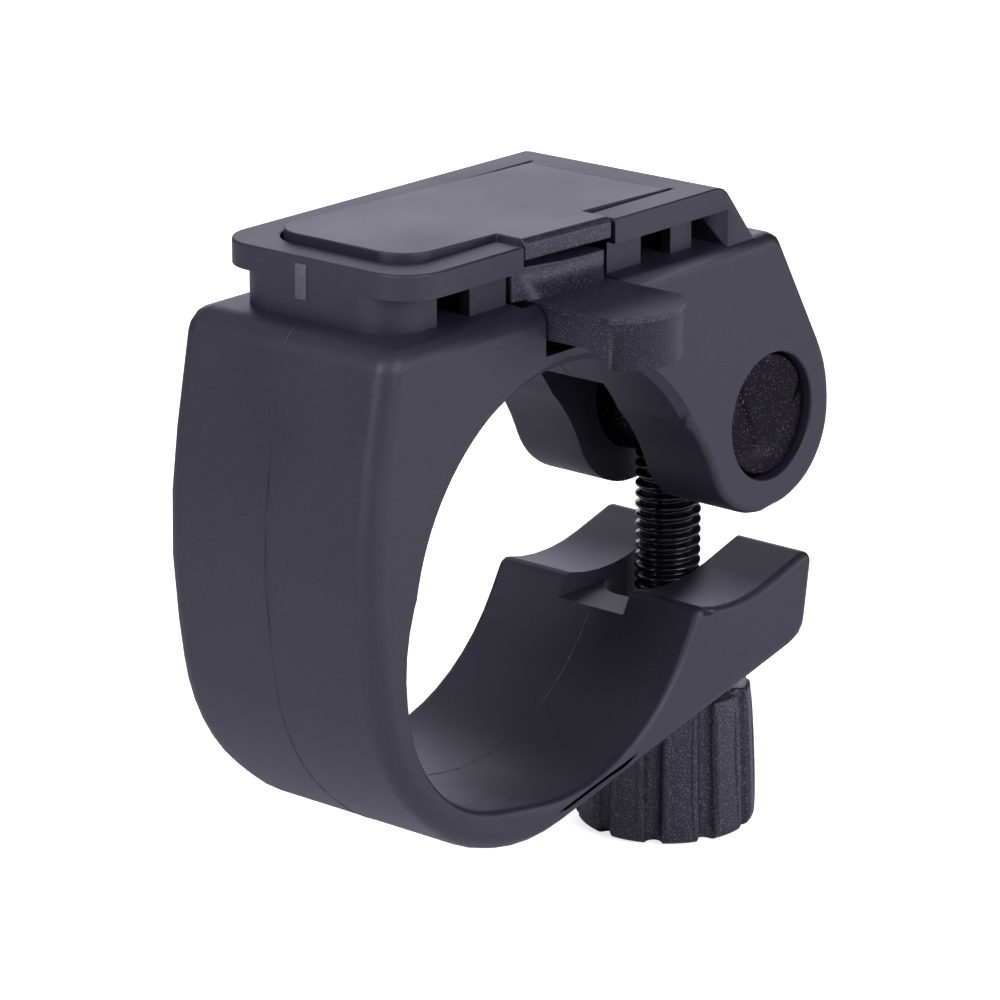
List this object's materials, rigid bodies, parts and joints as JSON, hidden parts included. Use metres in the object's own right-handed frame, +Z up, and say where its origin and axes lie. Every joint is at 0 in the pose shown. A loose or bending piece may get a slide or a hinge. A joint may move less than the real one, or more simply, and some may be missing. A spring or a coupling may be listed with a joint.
{
  "type": "bicycle light mount",
  "caption": "Open handlebar clamp with a swing-out thumb screw and a slide-on rail with a spring release lever for a bicycle light.",
  "frame": {"origin": "centre of the handlebar bore, halfway across the clamp", "axes": "+Z up to the light rail, +X from the back of the clamp to its jaws, +Y along the handlebar away from the release paddle"},
  "size_m": [0.0517, 0.0265, 0.0524],
  "materials": {
    "body_plastic": "fine matt texture, dark charcoal",
    "lever_plastic": "sparkling fine texture, charcoal",
    "nut_steel": "black oxide",
    "screw_steel": "glossy black",
    "knob_plastic": "sparkling fine texture, charcoal",
    "washer_steel": "zinc plated"
  },
  "bodies": {
    "clamp": {"clamp_body": "body_plastic"},
    "lever": {"release_lever": "lever_plastic"},
    "cross_nut": {"barrel_nut": "nut_steel"},
    "washer": {"thrust_washer": "washer_steel"},
    "knob": {"clamp_screw": "screw_steel", "thumb_knob": "knob_plastic"}
  },
  "joints": [
    {"name": "lever_flex", "type": "hinge", "parent": "clamp", "child": "lever", "pos_m": [0.01485, 0, 0.02435], "axis": [0, -1, 0], "range_deg": [0, 3.1], "stiffness_Nm_per_rad": 1.8},
    {"name": "nut_swing", "type": "hinge", "parent": "clamp", "child": "cross_nut", "pos_m": [0.0234, 0, 0.0069], "axis": [0, -1, 0], "range_deg": [0, 78]},
    {"name": "washer_slide", "type": "slide", "parent": "cross_nut", "child": "washer", "axis": [0, 0, -1], "range_m": [0, 0.005]},
    {"name": "knob_turn", "type": "hinge", "parent": "washer", "child": "knob", "pos_m": [0.0234, 0, -0.0155], "axis": [0, 0, -1], "range_deg": [0, 2255]}
  ],
  "couplings": [
    {"joint": "knob_turn", "follows": "washer_slide", "rad_per_m": 7854}
  ]
}
